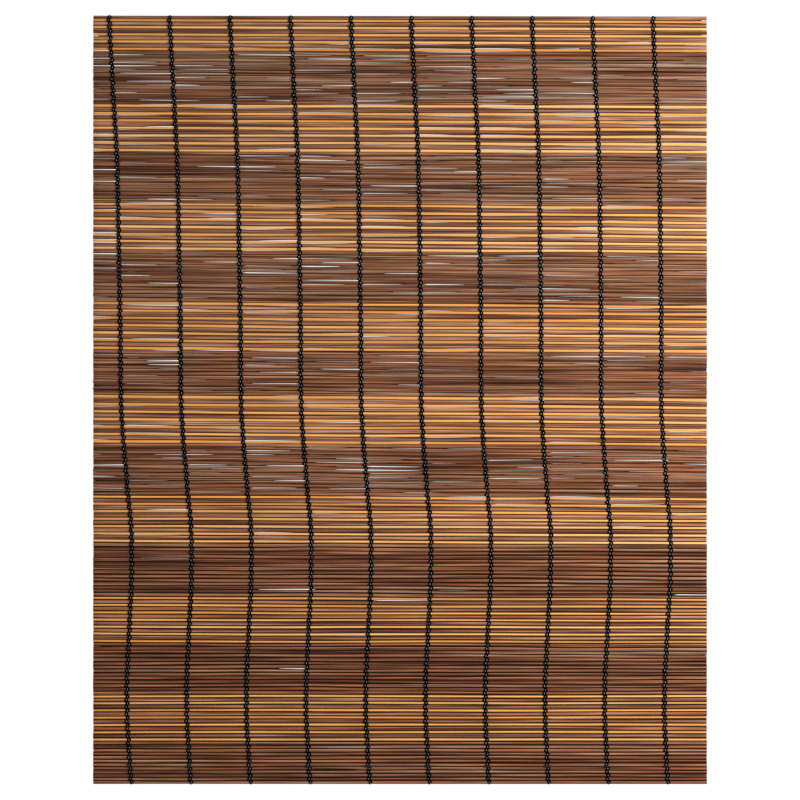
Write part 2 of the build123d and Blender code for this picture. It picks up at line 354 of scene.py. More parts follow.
def newMaterial(name):
    material = bpy.data.materials.new(name)
    material.use_nodes = True
    tree = material.node_tree
    tree.nodes.clear()
    shader = addNode(tree, "ShaderNodeBsdfPrincipled")
    addNode(tree, "ShaderNodeOutputMaterial", {"Surface": shader.outputs[0]})
    return material, tree, shader.inputs


def objectPlace(tree):
    return addNode(tree, "ShaderNodeTexCoord").outputs["Object"]


def ramp(tree, value, *stops):
    made = addNode(tree, "ShaderNodeValToRGB", {"Fac": value})
    band = made.color_ramp
    while len(band.elements) < len(stops):
        band.elements.new(0.5)
    for element, (place, colour) in zip(band.elements, stops):
        element.position = place
        element.color = colour
    return made.outputs[0]


patternReach = (0.3, 0.7)   # nearly all of a texture's values lie in here


def texture(tree, place, scale, detail=3.0, distortion=0.0):
    stretched = addNode(tree, "ShaderNodeVectorMath", {0: place, 1: scale}, operation="MULTIPLY").outputs[0]
    return addNode(tree, "ShaderNodeTexNoise", {"Vector": stretched, "Scale": 1.0, "Detail": detail,
                                                "Distortion": distortion}).outputs[0]


def mixColour(tree, blend, share, first, second):
    made = addNode(tree, "ShaderNodeMix", data_type="RGBA", blend_type=blend)
    feed(tree, made.inputs[0], share)
    feed(tree, made.inputs[6], first)
    feed(tree, made.inputs[7], second)
    return made.outputs[2]


def darken(tree, base, value, reach, shade, share=1.0):
    # multiplies by shade where value is at the first end of reach, and by nothing at the other
    made = ramp(tree, stretchRange(tree, value, *reach), (0.0, grey(shade)), (1.0, grey(1.0)))
    return mixColour(tree, "MULTIPLY", share, base, made)


def addRoughness(tree, shader, value, low, high):
    feed(tree, shader["Roughness"], stretchRange(tree, value, *patternReach, low, high))


def addBump(tree, shader, height, strength, depth):
    bump = addNode(tree, "ShaderNodeBump", {"Strength": strength, "Distance": depth, "Height": height})
    feed(tree, shader["Normal"], bump.outputs[0])


# The first five are patterns: how fine each is along a stick, from front to back and up, then its detail and
# distortion. A reach is where in a pattern a change begins and ends, and a fade is where, on the way down the
# mat, the lower bands' look comes in.
bambooLook = {"fibre": ((20.0, 1300.0, 1150.0), 4.0, 0.0), "streak": ((6.0, 1150.0, 1250.0), 3.0, 0.4),
              "crack": ((4.5, 1050.0, 1200.0), 1.0, 0.3), "cloud": ((7.0, 60.0, 60.0), 2.0, 0.0),
              "ridge": ((6.0, 0.0, 40.0), 1.0, 0.0),
              "fibreReach": (0.36, 0.6), "streakReach": (0.37, 0.63), "crackReach": (0.36, 0.46),
              # the under values paint shade on the lower edge of each stick
              "cloudReach": (0.3, 0.7), "cloudShare": 0.08, "underReach": (-0.1, -0.9), "underShadeShare": 0.45,
              # the ridge values set a painted shadow line along each stick, fainter in the lower bands
              "ridgeReach": (0.05, 0.17), "ridgeWander": 1.6, "ridgeFade": (0.5, 0.7), "lowerRidgeShadow": 0.4,
              # the edge values set the painted shade where neighbouring sticks meet
              "edgeReach": (0.86, 0.7), "edgeChange": 1.2, "edgeFade": (0.56, 0.74), "lowerEdgeShadeWidth": 0.21,
              # the tint fade brings in the lower tint: a warmer colour down the mat, partly the sticks' own
              # tone and partly painted light
              "tintFade": (0.3, 0.8), "roughnessChange": 0.1, "bump": 0.4, "bumpDepth": 0.15 * mm,
              "gloss": 0.12, "ior": 1.15}
# In each look, the under-edge colour and the edge and ridge shades are painted shade, and the lower tint is
# partly painted light.
honeyLook = {"stops": [(0.1, srgb(208, 132, 64)), (0.4, srgb(238, 166, 86)), (0.65, srgb(250, 186, 110)),
                       (0.95, srgb(254, 208, 152))],
             "toneShare": 0.4, "streakShare": 0.3, "underShadeColour": srgb(236, 152, 108),
             "fibreShade": 0.8, "crackShade": 0.8, "paintedEdgeShade": 0.3, "ridgeShadow": 0.92, "upperEdgeShadeShare": 0.5,
             "lowerToneAndLight": (1.06, 1.02, 0.96, 1.0), "roughness": 0.5}
brownLook = {"stops": [(0.02, srgb(68, 43, 33)), (0.24, srgb(118, 76, 57)), (0.44, srgb(148, 103, 82)),
                       (0.6, srgb(180, 107, 63)), (0.78, srgb(164, 123, 88)), (0.98, srgb(178, 152, 130))],
             "toneShare": 0.12, "streakShare": 0.88, "underShadeColour": srgb(98, 60, 42),
             "fibreShade": 0.5, "crackShade": 0.35, "paintedEdgeShade": 0.05, "ridgeShadow": 0.5, "upperEdgeShadeShare": 0.85,
             "lowerToneAndLight": (1.06, 0.95, 0.9, 1.0), "roughness": 0.55}
roseLook = dict(brownLook, streakShare=0.7, upperEdgeShadeShare=1.0, ridgeShadow=0.7,
                stops=[(0.02, srgb(82, 51, 40)), (0.28, srgb(126, 84, 66)), (0.5, srgb(159, 115, 93)),
                       (0.7, srgb(192, 129, 88)), (0.98, srgb(204, 176, 156))])


def bamboo(name, look):
    material, tree, shader = newMaterial(name)
    grain = addNode(tree, "ShaderNodeAttribute", attribute_name="grain").outputs["Vector"]
    stick = addNode(tree, "ShaderNodeAttribute", attribute_name="stick").outputs["Vector"]
    tone, across, share = split(tree, stick)   # its own tone, the place up it and the way down the mat
    fibre, streak, crack, cloud, bend = [texture(tree, grain, *bambooLook[name])
                                         for name in ("fibre", "streak", "crack", "cloud", "ridge")]

    # the ground colour, with painted shade on the lower edge of each stick, which makes it darker and redder
    # there
    strong = stretchRange(tree, streak, *bambooLook["streakReach"])
    soft = stretchRange(tree, cloud, *bambooLook["cloudReach"], -bambooLook["cloudShare"],
                        bambooLook["cloudShare"])
    rest = 0.5 * (1 - look["toneShare"] - look["streakShare"])
    mixed = total(tree, times(tree, tone, look["toneShare"]), times(tree, strong, look["streakShare"]),
                  soft, rest)
    base = ramp(tree, mixed, *look["stops"])
    lower = stretchRange(tree, across, *bambooLook["underReach"])
    base = mixColour(tree, "MIX", times(tree, lower, bambooLook["underShadeShare"]), base, look["underShadeColour"])
    base = darken(tree, base, fibre, bambooLook["fibreReach"], look["fibreShade"])
    base = darken(tree, base, crack, bambooLook["crackReach"], look["crackShade"])

    # a painted shadow line that wanders along the middle of each stick, as if from a ridge, and painted shade
    # on the edges where the sticks meet
    ridge = size(tree, maths(tree, "MULTIPLY_ADD", minus(tree, bend, 0.5), bambooLook["ridgeWander"], across))
    ridgeShare = stretchRange(tree, share, *bambooLook["ridgeFade"], 1.0, bambooLook["lowerRidgeShadow"])
    base = darken(tree, base, ridge, bambooLook["ridgeReach"], look["ridgeShadow"], ridgeShare)
    # painted shade on the edges where neighbouring sticks meet, stronger and wider lower down the mat and
    # uneven along the streaks
    wider = stretchRange(tree, share, *bambooLook["edgeFade"], 0.0, bambooLook["lowerEdgeShadeWidth"])
    change = bambooLook["edgeChange"]
    edgeShare = total(tree, stretchRange(tree, share, *bambooLook["ridgeFade"], look["upperEdgeShadeShare"], 1.0),
                      times(tree, streak, change), -0.5 * change)
    edge = total(tree, size(tree, across), wider)
    base = darken(tree, base, edge, bambooLook["edgeReach"], look["paintedEdgeShade"], edgeShare)
    # towards the bottom the colour is multiplied by the lower tint: warmer, partly the sticks' own tone and
    # partly painted light
    tint = stretchRange(tree, share, *bambooLook["tintFade"])
    feed(tree, shader["Base Color"], mixColour(tree, "MULTIPLY", tint, base, look["lowerToneAndLight"]))

    feed(tree, shader["Specular IOR Level"], bambooLook["gloss"])
    feed(tree, shader["IOR"], bambooLook["ior"])
    addRoughness(tree, shader, streak, look["roughness"] - bambooLook["roughnessChange"],
                 look["roughness"] + bambooLook["roughnessChange"])
    addBump(tree, shader, fibre, bambooLook["bump"], bambooLook["bumpDepth"])
    return material


honeyBamboo = bamboo("honeyBamboo", honeyLook)
brownBamboo = bamboo("brownBamboo", brownLook)
roseBamboo = bamboo("roseBrownBamboo", roseLook)
print("bamboo materials made")


# The mat. Its rows are counted from the top, and row 0 is also the top edge. Drops, falls and drifts are in
# mm, at shares of the way down: how far a row lies under its even place, how much lower it ends at the right
# than at the left, and how far the threads have wandered to the right.

mat = {"sticks": 209, "bands": 8, "threads": 10,
       "rowDrop": [(0.0, 0.0), (0.03, -0.9), (0.06, -0.95), (0.09, -0.15), (0.13, 0.35), (0.2, 0.65),
                   (0.32, 0.4), (0.35, 0.3), (0.44, 0.9), (0.475, 0.9), (0.51, 2.0), (0.6, 1.95),
                   (0.68, 1.95), (0.745, 3.6), (0.8, 2.4), (0.835, 2.1), (0.865, 2.2), (0.9, 1.45),
                   (0.96, 1.1), (1.0, 0.0)],
       "fallRight": [(0.0, 0.8), (0.04, 2.0), (0.08, 1.6), (0.116, 1.2), (0.17, 1.8), (0.25, 3.2), (0.5, 3.1),
                     (0.63, 2.2), (0.76, 1.4), (0.885, 0.0), (1.0, 0.0)],
       "curveScale": 10.0, "bow": 2.0, "bowPace": (5.0, 0.16), "bowSeed": 3.0, "bowEnds": 0.4,
       "wobblePace": (11.0, 17.3), "wobbleSeed": 7.0, "wobbleDetail": 1.0}
threadLine = {"first": -236.8, "topPitch": 49.35, "bottomPitch": 48.7, "curveScale": 20.0,
              "drift": [(0.0, -0.8), (0.11, 2.9), (0.2, 5.9), (0.31, 7.4), (0.42, 8.5), (0.485, 8.9),
                        (0.55, 11.0), (0.62, 14.6), (0.7, 17.7), (0.8, 15.7), (0.89, 13.8), (0.95, 15.4),
                        (1.0, 17.3)]}
lightBands = ["light_band_%d" % (number + 1) for number in range(mat["bands"])]
darkBands = ["dark_band_%d" % (number + 1) for number in range(mat["bands"])]
bandBoxes = [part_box(name) for name in lightBands + darkBands]
matLow = Vector(map(min, zip(*(low for low, high in bandBoxes))))
matHigh = Vector(map(max, zip(*(high for low, high in bandBoxes))))
rowPitch = (matHigh.z - matLow.z) / mat["sticks"]
matWidth = matHigh.x - matLow.x
matThickness = matHigh.y - matLow.y
matMiddle = (matLow.y + matHigh.y) / 2


def bandRows(name):
    low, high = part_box(name)
    return range(round((matHigh.z - high.z) / rowPitch), round((matHigh.z - low.z) / rowPitch))


def lightRows(isBrown):
    # honey and brown sticks by turns, with a honey stick at the bottom of each light band
    return [row for name in lightBands for row in bandRows(name) if (bandRows(name)[-1] - row) % 2 == isBrown]


honeyRows = lightRows(0)
brownRows = lightRows(1)
darkRows = [row for name in darkBands for row in bandRows(name)]


def wayDown(tree, row):
    return maths(tree, "DIVIDE", row, float(mat["sticks"]))


def rowHeightGroup():
    # the height of the line above a row, at an x
    tree, given, made = valueTree("rowHeight", ["X", "Row"], ["Height"])
    x, row = given["X"], given["Row"]
    share = wayDown(tree, row)
    drop = lookUp(tree, share, mat["rowDrop"], mat["curveScale"])
    across = maths(tree, "DIVIDE", x, matWidth)
    fall = times(tree, lookUp(tree, share, mat["fallRight"], mat["curveScale"]), across)
    arch = maths(tree, "SINE", times(tree, share, math.pi))                  # 0 at the top and bottom edges
    bow = times(tree, wave(tree, x, row, mat["bowPace"], mat["bowSeed"]), mat["bow"],
                maths(tree, "POWER", arch, mat["bowEnds"]))
    even = maths(tree, "MULTIPLY_ADD", row, -rowPitch, matHigh.z)
    feed(tree, made["Height"], maths(tree, "MULTIPLY_ADD", total(tree, drop, fall, bow), -mm, even))
    return tree


def threadXGroup():
    # where a thread is, at a row
    tree, given, made = valueTree("threadX", ["Column", "Row"], ["X"])
    share = wayDown(tree, given["Row"])
    spread = threadLine["bottomPitch"] - threadLine["topPitch"]
    pitch = maths(tree, "MULTIPLY_ADD", share, spread, threadLine["topPitch"])
    drift = lookUp(tree, share, threadLine["drift"], threadLine["curveScale"])
    x = total(tree, times(tree, given["Column"], pitch), drift, threadLine["first"])
    feed(tree, made["X"], times(tree, x, mm))
    return tree


rowHeight = rowHeightGroup()
threadX = threadXGroup()

# A slit is open between two sticks, from one thread towards the next: its width is in mm, the shortest and
# the mouth are shares of the way between two threads, and its chance goes by the way down the mat.
slit = {"width": 0.58, "shortest": 0.45, "taper": 0.45, "mouth": 0.05, "fineness": 3.2, "seed": 11.0,
        "chance": [(0.0, 0.85), (0.09, 1.0), (0.21, 0.8), (0.34, 0.7), (0.47, 0.65), (0.56, 0.95), (0.6, 1.0),
                   (0.64, 0.6), (0.7, 0.07), (0.85, 0.05), (1.0, 0.05)], "leastChance": 0.01}


def slitWidth(tree, x, row):
    firstX = useGroup(tree, threadX, {"Column": 0.0, "Row": row})[0]
    cell = maths(tree, "DIVIDE", minus(tree, x, firstX), threadLine["topPitch"] * mm)
    number = maths(tree, "FLOOR", cell)
    turned = maths(tree, "GREATER_THAN", chance(tree, number, row, slit["seed"]), 0.5)
    fromThread = size(tree, minus(tree, minus(tree, cell, number), turned))  # it starts at either thread
    reach = stretchRange(tree, chance(tree, number, row, slit["seed"] + 1), 0.0, 1.0, slit["shortest"], 1.0)
    narrowing = maths(tree, "POWER", stretchRange(tree, fromThread, 0.0, reach, 1.0, 0.0), slit["taper"])
    taper = times(tree, stretchRange(tree, fromThread, 0.0, slit["mouth"]), narrowing)
    likely = lookUp(tree, wayDown(tree, row), slit["chance"], 1.0)
    likely = maths(tree, "MAXIMUM", likely, slit["leastChance"])
    luck = chance(tree, number, row, slit["seed"] + 2)
    wide = maths(tree, "MAXIMUM", maths(tree, "DIVIDE", minus(tree, likely, luck), likely), 0.0)
    return times(tree, maths(tree, "POWER", wide, slit["fineness"]), slit["width"] * mm, taper)


def borderGroup():
    # the line that two neighbouring sticks share, and the width of the slit left along it
    tree, given, made = valueTree("border", ["X", "Row", "Wobble"], ["Height", "Slit"])
    x, row = given["X"], given["Row"]
    within = times(tree, maths(tree, "GREATER_THAN", row, 0.5),
                   maths(tree, "LESS_THAN", row, mat["sticks"] - 0.5))
    height = useGroup(tree, rowHeight, {"X": x, "Row": row})[0]
    wobble = wave(tree, x, row, mat["wobblePace"], mat["wobbleSeed"], mat["wobbleDetail"])
    feed(tree, made["Height"], total(tree, height, times(tree, wobble, within, given["Wobble"])))
    feed(tree, made["Slit"], times(tree, slitWidth(tree, x, row), within))
    return tree


border = borderGroup()

# How a stick's side lies against its neighbour, in mm apart from Slack, which multiplies a slit's width.
# Honey sticks are narrow, and the browns beside them wide. A slit as wide as Give undoes the whole Swell.
sides = {"plain": {"Wobble": 1.5, "Swell": 0.16, "Give": 0.04, "Slack": 1.35},
         "besideHoney": {"Wobble": 0.6, "Swell": 0.45, "Give": 0.42, "Slack": 0.2},
         "honey": {"Wobble": 0.6, "Swell": -0.4, "Give": 5.0, "Slack": 0.2}}
sideUnits = {"Wobble": mm, "Swell": mm, "Give": mm, "Slack": 1.0}
stickForm = {"segments": 90, "sides": 10, "chamfer": 0.3, "endShrink": 0.88, "squareness": 0.72,
             "overhang": 0.3, "lengthChange": 0.35, "thicknessChange": 0.5, "thicknessPace": (6.0, 9.7),
             "tilt": 0.5, "tiltPace": (3.0, 23.1), "waver": 1.1, "waverPace": (8.0, 5.3),
             "toneSeed": 2.0, "grainSeed": 3.0, "grainSlide": 40.0, "grainStep": 0.31}
stickSeeds = {"honey": 5.0, "lightBandBrown": 6.0, "dark": 7.0}


def sideOf(row, neighbour):
    if row in honeyRows:
        return sides["honey"]
    return sides["besideHoney"] if neighbour in honeyRows else sides["plain"]


def squared(tree, value):
    # rounds a circle's share towards a square with soft corners
    rounder = maths(tree, "POWER", size(tree, value), stickForm["squareness"])
    return times(tree, rounder, maths(tree, "SIGN", value))


def stickEdge(tree, x, row, line, side, outwards):
    # a stick swells past the line that it shares with its neighbour, but gives way where a slit is open
    wobble, swell, give, slack = [readFloat(tree, side + label) for label in sides["plain"]]
    height, opening = useGroup(tree, border, {"X": x, "Row": line, "Wobble": wobble})
    shut = stretchRange(tree, opening, 0.0, give, 1.0, 0.0)
    half = times(tree, opening, slack, -0.5)
    return maths(tree, outwards, height, maths(tree, "MULTIPLY_ADD", shut, swell, half))


def stickX(tree, given, along, row):
    # the last ring at each end makes a small chamfer; outer is 1 on it and 0 on the others
    inner = 1 - 2 / stickForm["segments"]
    end = maths(tree, "SIGN", along)
    main = maths(tree, "MINIMUM", maths(tree, "MAXIMUM", maths(tree, "DIVIDE", along, inner), -1.0), 1.0)
    outer = stretchRange(tree, size(tree, along), inner, 1.0)
    cut = times(tree, chance(tree, row, end, given["Seed"]), given["Length Change"])
    half = minus(tree, maths(tree, "MULTIPLY_ADD", given["Length"], 0.5, given["Overhang"]), cut)
    reach = minus(tree, half, given["Chamfer"])
    return total(tree, times(tree, main, reach), times(tree, outer, end, given["Chamfer"])), outer


def stickTree():
    tree, given, made = pieceTree("sticks", "Length", "Thickness", "Middle", "Chamfer", "Overhang",
                                  "Length Change", "Tilt", "Waver", "Seed")
    seed = given["Seed"]
    rod = roundTube(tree, straightLine(tree, -1.0, 1.0, stickForm["segments"] + 1), 1.0, stickForm["sides"])
    real = addNode(tree, "GeometryNodeRealizeInstances", {"Geometry": atPoints(tree, given["Geometry"], rod)})
    row = readFloat(tree, "row")
    along, around, outwards = position(tree)
    depth = squared(tree, outwards)
    lift = squared(tree, times(tree, around, -1.0))        # a flat of the rod faces front
    x, outer = stickX(tree, given, along, row)
    shrink = stretchRange(tree, outer, 0.0, 1.0, 1.0, stickForm["endShrink"])

    top = stickEdge(tree, x, row, row, "above", "ADD")
    bottom = stickEdge(tree, x, row, total(tree, row, 1.0), "below", "SUBTRACT")
    centre = times(tree, total(tree, top, bottom), 0.5)
    halfHeight = times(tree, minus(tree, top, bottom), 0.5)
    z = maths(tree, "MULTIPLY_ADD", times(tree, lift, halfHeight), shrink, centre)

    plump = wave(tree, x, row, stickForm["thicknessPace"], seed)
    plump = maths(tree, "MULTIPLY_ADD", plump, stickForm["thicknessChange"], 1.0)
    thick = times(tree, given["Thickness"], 0.5, plump)
    tilt = times(tree, wave(tree, x, row, stickForm["tiltPace"], seed), 2.0, given["Tilt"])
    waver = times(tree, wave(tree, x, row, stickForm["waverPace"], seed), given["Waver"])
    y = total(tree, given["Middle"], times(tree, depth, thick, shrink), times(tree, tilt, lift), waver)

    # both are stored before the rods take their shape, so that they read each rod's own place
    stick = vector(tree, chance(tree, row, stickForm["toneSeed"], seed), lift, wayDown(tree, row))
    slide = times(tree, chance(tree, row, stickForm["grainSeed"], seed), stickForm["grainSlide"])
    up = maths(tree, "MULTIPLY_ADD", row, stickForm["grainStep"], times(tree, lift, 0.5 * rowPitch))
    grain = vector(tree, total(tree, x, slide), times(tree, depth, 0.5 * rowPitch), up)
    marked = store(tree, real.outputs[0], "stick", stick, "FLOAT_VECTOR")
    marked = store(tree, marked, "grain", grain, "FLOAT_VECTOR")
    shaped = addNode(tree, "GeometryNodeSetPosition", {"Geometry": marked, "Position": vector(tree, x, y, z)})
    endTree(tree, made, shaped.outputs[0], given["Material"])
    return tree


sticks = stickTree()


def makeSticks(name, rows, seed, material, slot, replaced):
    values = {"row": [float(row) for row in rows]}
    for side, step in (("above", -1), ("below", 1)):
        for label, unit in sideUnits.items():
            values[side + label] = [sideOf(row, row + step)[label] * unit for row in rows]
    base = pointMesh(name, [(0.0, 0.0, 0.0)] * len(rows), **values)
    sizes = {"Length": matWidth, "Thickness": matThickness, "Middle": matMiddle,
             "Chamfer": stickForm["chamfer"] * mm, "Overhang": stickForm["overhang"] * mm,
             "Length Change": stickForm["lengthChange"] * mm, "Tilt": stickForm["tilt"] * mm,
             "Waver": stickForm["waver"] * mm, "Seed": seed, "Material": material}
    piece = grow(name, base, sticks, sizes, slot, *replaced)
    print(name, len(rows), "sticks,", len(piece.data.polygons), "faces")


makeSticks("honey_sticks", honeyRows, stickSeeds["honey"], honeyBamboo, "light_reed", lightBands)
makeSticks("light_band_brown_sticks", brownRows, stickSeeds["lightBandBrown"], roseBamboo, "dark_reed",
           lightBands)
makeSticks("dark_band_sticks", darkRows, stickSeeds["dark"], brownBamboo, "dark_reed", darkBands)


# The warp threads: two black strands and a core between them on each face of the mat, crossing between all
# the sticks. The core's pale colour is a painted sheen on the black thread.
# Lengths are in mm. A small power makes a swing or a crown fuller, and the core's large one makes it brief.

strand = {"radius": 0.74, "core": 0.4, "spread": 1.08, "zigzag": 0.5, "proud": 0.35, "sink": 0.6,
          "crossing": 0.5, "points": 4, "sides": 5, "looseness": 0.9, "loosePace": 0.9,
          "swingPower": 0.55, "crownPower": 0.7, "corePower": 4.0}
# pale is the colour of each core: a painted sheen on the black thread
threadLook = {"black": (srgb(2, 2, 3), srgb(12, 12, 13)), "pale": (srgb(104, 114, 110), srgb(196, 206, 200)),
              "twist": 900.0, "twistWander": 2.0, "twistShare": 0.6, "hair": 2500.0, "gloss": 0.1,
              "ior": 1.04, "roughness": (0.4, 0.55), "bump": 0.5, "bumpDepth": 0.1 * mm}


def threadMaterial():
    material, tree, shader = newMaterial("blackThread")
    place = objectPlace(tree)
    twist = addNode(tree, "ShaderNodeTexWave", {"Vector": place, "Scale": threadLook["twist"],
                                                "Distortion": threadLook["twistWander"]},
                    bands_direction="DIAGONAL")
    hair = texture(tree, place, (threadLook["hair"],) * 3, 2.0)
    shade = total(tree, times(tree, twist.outputs["Fac"], threadLook["twistShare"]),
                  times(tree, hair, 1 - threadLook["twistShare"]))
    core = addNode(tree, "ShaderNodeAttribute", attribute_name="core").outputs["Fac"]
    black, pale = [ramp(tree, shade, (0.1, threadLook[name][0]), (0.9, threadLook[name][1]))
                   for name in ("black", "pale")]
    # the core strands take the pale colour, a painted sheen
    feed(tree, shader["Base Color"], mixColour(tree, "MIX", core, black, pale))
    feed(tree, shader["Specular IOR Level"], threadLook["gloss"])
    feed(tree, shader["IOR"], threadLook["ior"])
    addRoughness(tree, shader, hair, *threadLook["roughness"])
    addBump(tree, shader, shade, threadLook["bump"], threadLook["bumpDepth"])
    return material


def threadTree():
    tree, given, made = pieceTree("twinedThread", "Column", "Radius", "Core", "Spread", "Zigzag", "Proud",
                                  "Sink", "Crossing", "Thickness", "Middle")
    line = straightLine(tree, 0.0, 1.0, mat["sticks"] * strand["points"] + 1)
    six = addNode(tree, "GeometryNodeDuplicateElements", {"Geometry": line, "Amount": 6}, domain="SPLINE")
    number = six.outputs["Duplicate Index"]
    side = minus(tree, maths(tree, "MODULO", number, 3.0), 1.0)            # the middle one, at 0, is the core
    half = maths(tree, "FLOOR", maths(tree, "DIVIDE", number, 3.0))
    face = maths(tree, "MULTIPLY_ADD", half, 2.0, -1.0)                    # -1 is the front
    core = maths(tree, "COMPARE", side, 0.0, 0.1)
    row = times(tree, position(tree)[0], float(mat["sticks"]))
    turn = times(tree, row, math.pi)
    sine = maths(tree, "SINE", turn)

    # sideways: both strands swing together from row to row, and lie apart
    straight = useGroup(tree, threadX, {"Column": given["Column"], "Row": row})[0]
    z = useGroup(tree, rowHeight, {"X": straight, "Row": row})[0]
    loose = noise(tree, given["Column"], times(tree, row, strand["loosePace"]), side)
    loose = maths(tree, "MULTIPLY_ADD", loose, strand["looseness"], 1.0)
    apart = total(tree, times(tree, side, loose, given["Spread"]), given["Zigzag"])
    fuller = maths(tree, "POWER", size(tree, sine), strand["swingPower"])
    x = maths(tree, "MULTIPLY_ADD", times(tree, maths(tree, "SIGN", sine), fuller), apart, straight)

    # outwards: over each stick, and in between two, where one strand passes over the other
    power = stretchRange(tree, core, 0.0, 1.0, strand["crownPower"], strand["corePower"])
    crown = maths(tree, "POWER", size(tree, sine), power)
    surface = times(tree, given["Thickness"], 0.5)
    out = stretchRange(tree, crown, 0.0, 1.0, minus(tree, surface, given["Sink"]),
                       total(tree, surface, given["Proud"]))
    over = times(tree, side, maths(tree, "COSINE", turn), given["Crossing"])
    y = maths(tree, "MULTIPLY_ADD", total(tree, out, over), face, given["Middle"])

    marked = store(tree, six.outputs[0], "core", core, "FLOAT")
    laid = addNode(tree, "GeometryNodeSetPosition", {"Geometry": marked, "Position": vector(tree, x, y, z)})
    thick = stretchRange(tree, core, 0.0, 1.0, given["Radius"], given["Core"])
    endTree(tree, made, roundTube(tree, laid.outputs[0], 1.0, strand["sides"], thick), given["Material"])
    return tree


twined = threadTree()
blackThread = threadMaterial()
for column in range(mat["threads"]):
    values = {name.capitalize(): strand[name] * mm
              for name in ("radius", "core", "spread", "zigzag", "proud", "sink", "crossing")}
    values.update({"Column": float(column), "Thickness": matThickness, "Middle": matMiddle,
                   "Material": blackThread})
    grow("twined_thread_%d" % (column + 1), pointMesh("threadBase", [(0.0, 0.0, 0.0)]), twined, values,
         "black_thread", "warp_thread_%d" % (column + 1))
print("threads twined")


# Wood, metal and nylon behind the mat

woodLook = {"rings": (5.0, 190.0, 140.0), "ringTwist": 1.2, "pores": (45.0, 1500.0, 1500.0),
            "stops": [(0.25, srgb(92, 56, 34)), (0.5, srgb(124, 78, 48)), (0.75, srgb(146, 98, 62))],
            "poreReach": (0.35, 0.6), "poreShade": 0.55, "roughness": (0.58, 0.42), "bump": 0.3,
            "bumpDepth": 0.2 * mm}
metalLook = {"spots": 260.0, "spotShade": (0.78, 0.78, 0.8, 1.0), "smoother": 0.08, "rougher": 0.12,
             "bump": 0.2, "bumpDepth": 0.03 * mm}
metals = {"zincSteel": {"colour": (0.62, 0.63, 0.65, 1.0), "roughness": 0.34,
                        "brushed": (700.0, 60.0, 700.0)},
          "brassMetal": {"colour": (0.66, 0.46, 0.2, 1.0), "roughness": 0.28,
                         "brushed": (300.0, 300.0, 900.0)},
          "blackWire": {"colour": (0.03, 0.03, 0.032, 1.0), "roughness": 0.45,
                        "brushed": (300.0, 300.0, 300.0)}}
nylonLook = {"mottle": 400.0, "stops": [(0.3, srgb(214, 209, 196)), (0.7, srgb(232, 228, 216))],
             "roughness": (0.36, 0.48), "glow": 0.08, "glowReach": (0.002, 0.002, 0.0015), "bump": 0.15,
             "bumpDepth": 0.05 * mm}


def stainedWood():
    material, tree, shader = newMaterial("stainedWood")
    place = objectPlace(tree)
    rings = texture(tree, place, woodLook["rings"], 3.0, woodLook["ringTwist"])
    pores = texture(tree, place, woodLook["pores"], 3.0)
    base = ramp(tree, rings, *woodLook["stops"])
    base = darken(tree, base, pores, woodLook["poreReach"], woodLook["poreShade"])
    feed(tree, shader["Base Color"], base)
    addRoughness(tree, shader, pores, *woodLook["roughness"])
    addBump(tree, shader, pores, woodLook["bump"], woodLook["bumpDepth"])
    return material


def plainMetal(name, colour, roughness, brushed):
    material, tree, shader = newMaterial(name)
    place = objectPlace(tree)
    lines = texture(tree, place, brushed, 3.0)
    spots = texture(tree, place, (metalLook["spots"],) * 3, 4.0)
    pale = ramp(tree, spots, (0.3, metalLook["spotShade"]), (0.7, white))
    feed(tree, shader["Base Color"], mixColour(tree, "MULTIPLY", 1.0, colour, pale))
    feed(tree, shader["Metallic"], 1.0)
    addRoughness(tree, shader, lines, roughness - metalLook["smoother"], roughness + metalLook["rougher"])
    addBump(tree, shader, lines, metalLook["bump"], metalLook["bumpDepth"])
    return material


def mouldedNylon():
    material, tree, shader = newMaterial("mouldedNylon")
    mottle = texture(tree, objectPlace(tree), (nylonLook["mottle"],) * 3, 3.0)
    feed(tree, shader["Base Color"], ramp(tree, mottle, *nylonLook["stops"]))
    feed(tree, shader["Subsurface Weight"], nylonLook["glow"])
    feed(tree, shader["Subsurface Radius"], nylonLook["glowReach"])
    addRoughness(tree, shader, mottle, *nylonLook["roughness"])
    addBump(tree, shader, mottle, nylonLook["bump"], nylonLook["bumpDepth"])
    return material


steel, brass, wire = [plainMetal(name, **metals[name]) for name in ("zincSteel", "brassMetal", "blackWire")]
wood = stainedWood()
nylon = mouldedNylon()
nodeFinish = {"headrail": wood, "bottom_batten": wood,
              "left_pulley_bracket": steel, "right_pulley_bracket": steel, "left_pulley_axle": steel,
              "right_pulley_axle": steel, "left_pulley_sheave": nylon, "right_pulley_sheave": nylon,
              "lock_housing": steel, "lock_guide_pin": steel, "lock_guide_roller": nylon, "lock_axle": steel,
              "lock_roller": brass}
for name, material in nodeFinish.items():
    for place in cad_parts[name].material_slots:
        place.material = material
print("wood, metal and nylon finished")


# Staples over the threads, at the headrail and at the batten

staple = {"wire": 0.8, "inner": 5.2, "round": 0.9, "roundSteps": 4, "sides": 8,
          "rows": {"headrail_staples": 3.0, "batten_staples": 204.0}}


